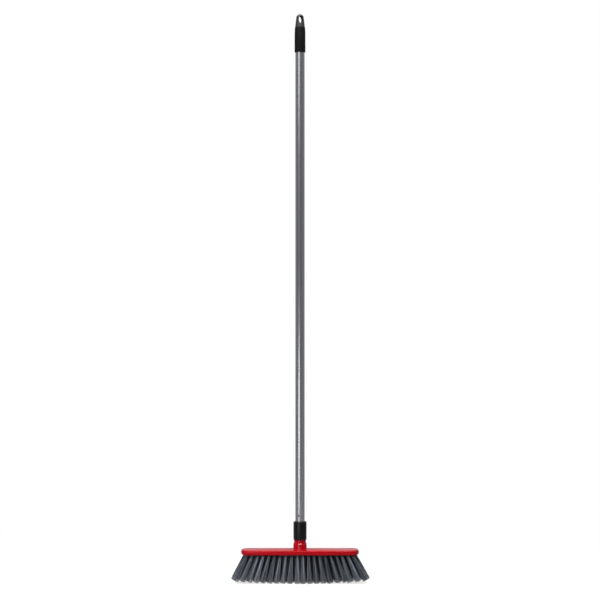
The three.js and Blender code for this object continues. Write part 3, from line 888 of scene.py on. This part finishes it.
def make_plug():
    tip, flange = plug_low.z, MOUTH + SEAT_GAP
    body = turn_on_lathe([
        (PLUG_CORE, tip),
        (THREAD_ROOT - TIP_CHAMFER, tip),
        (THREAD_ROOT, tip + TIP_CHAMFER),
        (THREAD_ROOT, flange),
        (plug_high.x, flange, SOFT_EDGE),
        (plug_high.x, flange + FLANGE_THICKNESS, SOFT_EDGE),
        (SPIGOT_RADIUS, flange + FLANGE_THICKNESS),
        (SPIGOT_RADIUS, plug_high.z, SOFT_EDGE),
        (0, plug_high.z),
        (0, plug_high.z - PLUG_ROOF),
        (PLUG_CORE, plug_high.z - PLUG_ROOF),
    ])
    outside = THREAD_CREST + OVERRUN
    run = outside - THREAD_ROOT + TIP_CHAMFER
    room = turn_on_lathe([
        (0, tip),
        (THREAD_ROOT - TIP_CHAMFER, tip),
        (outside, tip + run),
        (outside, flange + FLANGE_THICKNESS / 2),
        (0, flange + FLANGE_THICKNESS / 2),
    ], closed=False)
    ridge = carve(thread_ridge(0), room, "INTERSECT")
    return carve(body, ridge, "UNION")


hand_over(make_plug(), "screw_plug", plug_black, "handle", ["threaded_plug"])

# %% [markdown]
# ## The tube
# The handle is a welded steel tube with a thin wall, turned here as a ring with its cut ends softened. Two holes
# go through it near the foot, where the rivets sit.

# %% Turn the tube and drill it
RIVET_HOLE = 1.8 * MM
RIVET_HOLE_STEPS = 24
rivet_low, rivet_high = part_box("plug_rivet_front")
rivet_middle = (rivet_low + rivet_high) / 2
rivet_turn = math.atan2(rivet_middle.y, rivet_middle.x)


def make_tube():
    inner = TUBE_RADIUS - TUBE_WALL
    edge = TUBE_WALL / 4
    tube = turn_on_lathe([(inner, tube_low.z, edge), (TUBE_RADIUS, tube_low.z, edge),
                          (TUBE_RADIUS, tube_high.z, edge), (inner, tube_high.z, edge)])
    hole = bmesh.new()
    across = Matrix.Translation((0, 0, rivet_middle.z)) @ Matrix.Rotation(rivet_turn, 4, "Z")
    bmesh.ops.create_cone(hole, cap_ends=True, segments=RIVET_HOLE_STEPS, radius1=RIVET_HOLE, radius2=RIVET_HOLE,
                          depth=2 * (TUBE_RADIUS + OVERRUN), matrix=across @ Matrix.Rotation(math.pi / 2, 4, "Y"))
    return carve(tube, hole, "DIFFERENCE")


hand_over(make_tube(), "lacquered_tube", flake_lacquer, "handle", ["handle_tube"])

# %% [markdown]
# ## The rivets
# Two small rivets hold the plug in the tube. Each has a low domed head, pressed onto the lacquer, and a shank that
# ends in the plug. The head's back is lower than in the frame, so that no gap shows between it and the tube.

# %% Set the rivets
RIVET_HEAD = 2.6 * MM
RIVET_SHANK = 1.5 * MM
RIVET_RIM = 0.3 * MM
RIVET_RISE = 0.8 * MM
HEAD_SINK = 0.55 * MM
RIVET_REACH = 3.3 * MM
RIVET_STEPS = 32
DOME_SHARES = [0.88, 0.65, 0.35]


def make_rivet(node):
    """A rivet on X, turned to the side of the tube on which the frame has it."""
    low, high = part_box(node)
    middle = (low + high) / 2
    outwards = Vector((middle.x, middle.y, 0)).normalized()
    head_top = TUBE_RADIUS + SEAT_GAP + RIVET_RISE
    seat = TUBE_RADIUS - HEAD_SINK + SEAT_GAP
    rim = TUBE_RADIUS + RIVET_RIM
    dome = [(RIVET_HEAD * share, rim + (head_top - rim) * (1 - share**2)) for share in DOME_SHARES]
    foot = TUBE_RADIUS - RIVET_REACH
    outline = [(0, foot), (RIVET_SHANK, foot), (RIVET_SHANK, seat), (RIVET_HEAD, seat), *dome, (0, head_top)]
    bm = turn_on_lathe(outline, closed=False, steps=RIVET_STEPS)
    aim = Vector((0, 0, 1)).rotation_difference(outwards).to_matrix().to_4x4()
    bmesh.ops.transform(bm, matrix=Matrix.Translation((0, 0, middle.z)) @ aim, verts=bm.verts)
    return bm


for node in ("plug_rivet_front", "plug_rivet_rear"):
    hand_over(make_rivet(node), node.replace("plug_rivet", "rivet"), dull_steel, "handle", [node])

# %% [markdown]
# ## The grip
# The grip is a black sleeve pushed over the top of the tube. Its wall grows below the cap, and its lower edge is
# a soft roll. The swelling is a short curve, so a few points of a parabola are enough for its outline.

# %% Turn the grip
GRIP_TOP_WALL = 0.85 * MM
GRIP_FLARE = 21 * MM
GRIP_RIM = 1.1 * MM
FLARE_SHARES = [0.2, 0.4, 0.6, 0.8]


def make_grip():
    bore, widest = bore_radius, grip_high.x
    top = bore + GRIP_TOP_WALL
    flare = [(widest - (widest - top) * s**2, grip_high.z - GRIP_FLARE * (1 - s)) for s in FLARE_SHARES]
    return turn_on_lathe([
        (bore, grip_low.z, GRIP_RIM / 3),
        (widest, grip_low.z, GRIP_RIM),
        (widest, grip_high.z - GRIP_FLARE),
        *flare,
        (top, grip_high.z, SEAT_GAP),
        (bore, grip_high.z),
    ])


hand_over(make_grip(), "rubber_grip", grip_black, "handle", ["grip_sleeve"])

# %% [markdown]
# ## The hanging cap
# The cap closes the top. It tapers and then rounds off, and an upright eye goes right through it for a hook. A cut
# leaves knife edges that no moulding has, so the cut shape is remeshed with small voxels and smoothed, which
# gives every edge, inside the eye too, the same soft rounding. The wall of the eye is matte, since nothing
# polishes it, and painted near black as shade, for the shade deep in the hole: a mask in the shape of the eye, a
# little larger, tells its finish where to change.

# %% Shape the cap and its eye
CAP_BRIM = 0.75 * MM
CAP_HEIGHT = 32.7 * MM
CAP_ROUND_HEIGHT = 9 * MM
CAP_ROUND_RADIUS = 9.4 * MM
CAP_SPIGOT_WALL = 2 * MM
EYE_WIDTH, EYE_HEIGHT = 10 * MM, 19 * MM
EYE_TOP = 4.7 * MM
EYE_TURN = math.radians(15)
EYE_MIDDLE = cap_high.z - EYE_TOP - EYE_HEIGHT / 2
EYE_STEPS = 48
EYE_MASK_FROM, EYE_MASK_TO = 1.12, 1.04
VOXEL = 0.35 * MM
SOFTENING_ROUNDS = 14
ROUND_ANGLES = [math.radians(degrees) for degrees in range(0, 90, 10)]


def make_cap():
    brim_height = cap_high.z - CAP_HEIGHT
    round_base = cap_high.z - CAP_ROUND_HEIGHT
    crown = [(CAP_ROUND_RADIUS * math.cos(a), round_base + CAP_ROUND_HEIGHT * math.sin(a)) for a in ROUND_ANGLES]
    core = SPIGOT_RADIUS - CAP_SPIGOT_WALL
    body = turn_on_lathe([
        (0, brim_height - CAP_SPIGOT_WALL),
        (core, brim_height - CAP_SPIGOT_WALL),
        (core, cap_low.z),
        (SPIGOT_RADIUS, cap_low.z),
        (SPIGOT_RADIUS, brim_height),
        (TUBE_RADIUS + CAP_BRIM, brim_height),
        *crown,
        (0, cap_high.z),
    ], closed=False)
    eye = bmesh.new()
    bmesh.ops.create_cone(eye, cap_ends=True, segments=EYE_STEPS, radius1=1, radius2=1,
                          depth=2 * (TUBE_RADIUS + OVERRUN))
    bmesh.ops.scale(eye, vec=(EYE_WIDTH / 2, EYE_HEIGHT / 2, 1), verts=eye.verts)
    stand = Matrix.Translation((0, 0, EYE_MIDDLE)) @ Matrix.Rotation(EYE_TURN, 4, "Z")
    bmesh.ops.transform(eye, matrix=stand @ Matrix.Rotation(math.pi / 2, 4, "X"), verts=eye.verts)
    rough = loose_object(tidy_up(carve(body, tidy_up(eye), "DIFFERENCE")), "rough_cap")
    voxels = rough.modifiers.new("voxels", "REMESH")
    voxels.mode, voxels.voxel_size = "VOXEL", VOXEL
    soften = rough.modifiers.new("soften", "SMOOTH")
    soften.iterations = SOFTENING_ROUNDS
    return after_modifiers(rough)


def paint_shade_in_eye(material, colour, rough):
    """Paints shade into a finish inside the eye, and a little past its rim, in shares of its size: a dark colour,
    and matte.
    """
    tree = material.node_tree
    shader = tree.nodes["Principled BSDF"]
    eye = add_node(tree, "Mapping", {"vector_type": "TEXTURE"}, Vector=place_on_piece(tree),
                   Location=(0, 0, EYE_MIDDLE), Rotation=(0, 0, EYE_TURN),
                   Scale=(EYE_WIDTH / 2, 1, EYE_HEIGHT / 2)).outputs["Vector"]
    flat = add_node(tree, "VectorMath", {"operation": "MULTIPLY"})
    flat.inputs[1].default_value = (1, 0, 1)
    tree.links.new(eye, flat.inputs[0])
    reach = calculate(tree, "LENGTH", flat.outputs["Vector"], kind="VectorMath")
    inside = spread(tree, reach, EYE_MASK_FROM, EYE_MASK_TO, 0.0, 1.0)
    body, shine = (shader.inputs[name].links[0].from_socket for name in ("Base Color", "Roughness"))
    tree.links.new(blend_colours(tree, inside, body, colour), shader.inputs["Base Color"])
    matte = calculate(tree, "MAXIMUM", shine, calculate(tree, "MULTIPLY", inside, rough))
    tree.links.new(matte, shader.inputs["Roughness"])


# The inside of the eye is painted near black as shade, and made matte.
paint_shade_in_eye(cap_grey, seen(8, 8, 9), 0.9)
hand_over(make_cap(), "cap_dome", cap_grey, "handle", ["hanging_cap"])

# %% [markdown]
# ## The floor and the room
# The broom stands on a white floor in a white room. Near the broom the floor is real and takes its shadow, and
# further out it fades into plain white, so that no horizon shows. Mirror-like surfaces see the room too, pale
# behind the broom and dimmer on the photographer's side, as a studio is, which keeps the red and the black deep.

# %% Lay the floor
FLOOR_RADIUS = 30.0
FLOOR_STEPS = 64
FLOOR_COLOUR = 0.36
FLOOR_SEEN = 0.66
NEAR_FLOOR, FAR_FLOOR = 0.35, 1.3
BEHIND_BROOM, BEHIND_CAMERA = 0.7, 0.2
STUDIO_FLOOR = (-6.0, 3.0)


def seen_room(tree, place, ends):
    """1 for rays from the camera, a mirror or glass and 0 for others, and how bright they see a place."""
    rays = add_node(tree, "LightPath").outputs
    mirrors = calculate(tree, "MAXIMUM", rays["Is Glossy Ray"], rays["Is Transmission Ray"])
    forward = add_node(tree, "SeparateXYZ", Vector=place).outputs["Y"]
    studio = spread(tree, forward, *ends, BEHIND_CAMERA, BEHIND_BROOM)
    camera = rays["Is Camera Ray"]
    return calculate(tree, "MAXIMUM", camera, mirrors), calculate(tree, "MAXIMUM", studio, camera)


floor_bm = bmesh.new()
bmesh.ops.create_circle(floor_bm, cap_ends=True, segments=FLOOR_STEPS, radius=FLOOR_RADIUS)
floor = loose_object(floor_bm, "floor")
floor_paint = bpy.data.materials.new("floor_paint")
floor_paint.use_nodes = True
tree = floor_paint.node_tree
tree.nodes.clear()
place = place_on_piece(tree)
looking, studio = seen_room(tree, place, STUDIO_FLOOR)
distance = calculate(tree, "LENGTH", place, kind="VectorMath")
far = spread(tree, distance, NEAR_FLOOR, FAR_FLOOR, 0.0, 1.0)
lit = add_node(tree, "BsdfDiffuse", Color=(FLOOR_COLOUR, FLOOR_COLOUR, FLOOR_COLOUR, 1))
glow = calculate(tree, "MULTIPLY", calculate(tree, "MULTIPLY", looking, studio), FLOOR_SEEN)
glow = add_node(tree, "Emission", Strength=glow)
near_floor = add_node(tree, "AddShader")
tree.links.new(lit.outputs[0], near_floor.inputs[0])
tree.links.new(glow.outputs[0], near_floor.inputs[1])
white = add_node(tree, "Emission", Strength=studio)
fade = add_node(tree, "MixShader", Fac=calculate(tree, "MULTIPLY", looking, far))
tree.links.new(near_floor.outputs[0], fade.inputs[1])
tree.links.new(white.outputs[0], fade.inputs[2])
add_node(tree, "OutputMaterial", Surface=fade.outputs[0])
floor.data.materials.append(floor_paint)
print("floor is", 2 * FLOOR_RADIUS, "m across and fades between", NEAR_FLOOR, "and", FAR_FLOOR, "m")

# %% [markdown]
# The walls follow the floor: white to the camera, and in reflections pale behind the broom and dimmer on the
# photographer's side. What they give as plain light to the broom is kept low and even.

# %% Light the room
ROOM_LIGHT = 0.17
STUDIO_WALLS = (-0.6, 0.35)

world = bpy.data.worlds.new("white_room")
bpy.context.scene.world = world
world.use_nodes = True
tree = world.node_tree
background = tree.nodes["Background"]
looking, studio = seen_room(tree, add_node(tree, "TexCoord").outputs["Generated"], STUDIO_WALLS)
dark = calculate(tree, "MULTIPLY", calculate(tree, "SUBTRACT", 1.0, looking), ROOM_LIGHT)
strength = calculate(tree, "ADD", calculate(tree, "MULTIPLY", studio, looking), dark)
tree.links.new(strength, background.inputs["Strength"])
background.inputs["Color"].default_value = (1, 1, 1, 1)
print("the room lights the broom with", ROOM_LIGHT)

# %% [markdown]
# ## Lamps
# The handle tells how the lamps stood: one long streak left of the middle, gone halfway up, is a pair of bright
# softboxes on the left, a high one and one near the floor. A dim one stands on the right, one hangs above and one
# lights the back. Two small bright ones, high on both sides, put the sparkles on the corners of the cover. They
# wear a grid, which keeps their light on the head. An area lamp is such a softbox, and its power is worked out
# from how bright its face should be.

# %% Hang the softboxes
GRID_ANGLE = math.radians(45)


def softbox(name, azimuth, distance, height, aim, width, tall, brightness, grid=False):
    """A lamp that faces the broom's axis at the aimed height. Azimuth 0 is in front, and +90 on the right."""
    lamp = bpy.data.lights.new(name, "AREA")
    lamp.shape, lamp.size, lamp.size_y = "RECTANGLE", width, tall
    lamp.energy = brightness * math.pi * width * tall
    if grid:
        half = GRID_ANGLE / 2
        lamp.spread = GRID_ANGLE
        lamp.energy *= 1 - half / math.tan(half)
    stand = new_object(name, lamp)
    angle = math.radians(azimuth)
    stand.location = (distance * math.sin(angle), -distance * math.cos(angle), height)
    stand.rotation_mode = "QUATERNION"
    stand.rotation_quaternion = (Vector((0, 0, aim)) - stand.location).to_track_quat("-Z", "Y")
    stand.visible_camera = False
    print(name, "gives", round(lamp.energy, 1), "W")


softbox("key_high", -26, 1.7, 2.1, 2.1, 1.0, 1.1, 4.0)
softbox("key_low", -24, 1.0, 0.27, 0.27, 0.44, 0.56, 6.4)
softbox("fill", 58, 2.2, 0.9, 0.9, 1.3, 1.8, 0.15)
softbox("overhead", 0, 0.6, 2.5, 0, 2.0, 1.4, 7.5)
softbox("rear", 180, 1.6, 2.0, 0.3, 1.6, 1.0, 3.0)
softbox("glint_left", -24, 1.5, 2.2, BLOCK_FACE, 0.3, 0.12, 110.0, grid=True)
softbox("glint_right", 18, 1.5, 2.2, BLOCK_FACE, 0.3, 0.12, 110.0, grid=True)

# %% [markdown]
# ## The camera
# The photograph looks level at the middle of the handle and a little down on the head. One camera does both: it
# stands at half height and far enough away that the head, down at the floor, is seen from about eight degrees.
# The lens is chosen so that the broom fills the frame's height as the handle does in the photograph.

# %% Place the camera
CAMERA_DISTANCE = 4.2
FRAME_PIXELS = 600
BROOM_TOP_PIXEL, BROOM_FOOT_PIXEL = 14.2, 582.0

camera_data = bpy.data.cameras.new("camera")
camera = new_object("camera", camera_data)
pixels_per_metre = (BROOM_FOOT_PIXEL - BROOM_TOP_PIXEL) / (cad_high.z - cad_low.z)
half_frame = FRAME_PIXELS / 2 / pixels_per_metre
camera_data.lens = camera_data.sensor_width / 2 / (half_frame / CAMERA_DISTANCE)
camera_height = cad_high.z - (FRAME_PIXELS / 2 - BROOM_TOP_PIXEL) / pixels_per_metre
camera.location = (0, -CAMERA_DISTANCE, camera_height)
camera.rotation_euler = (math.pi / 2, 0, 0)
bpy.context.scene.camera = camera
print("lens", round(camera_data.lens, 1), "mm at height", round(camera_height, 3), "m")

# %% [markdown]
# ## Finish
# The picture is shown as it is, with no film curve.

# %% Finish
bpy.context.scene.view_settings.view_transform = "Standard"
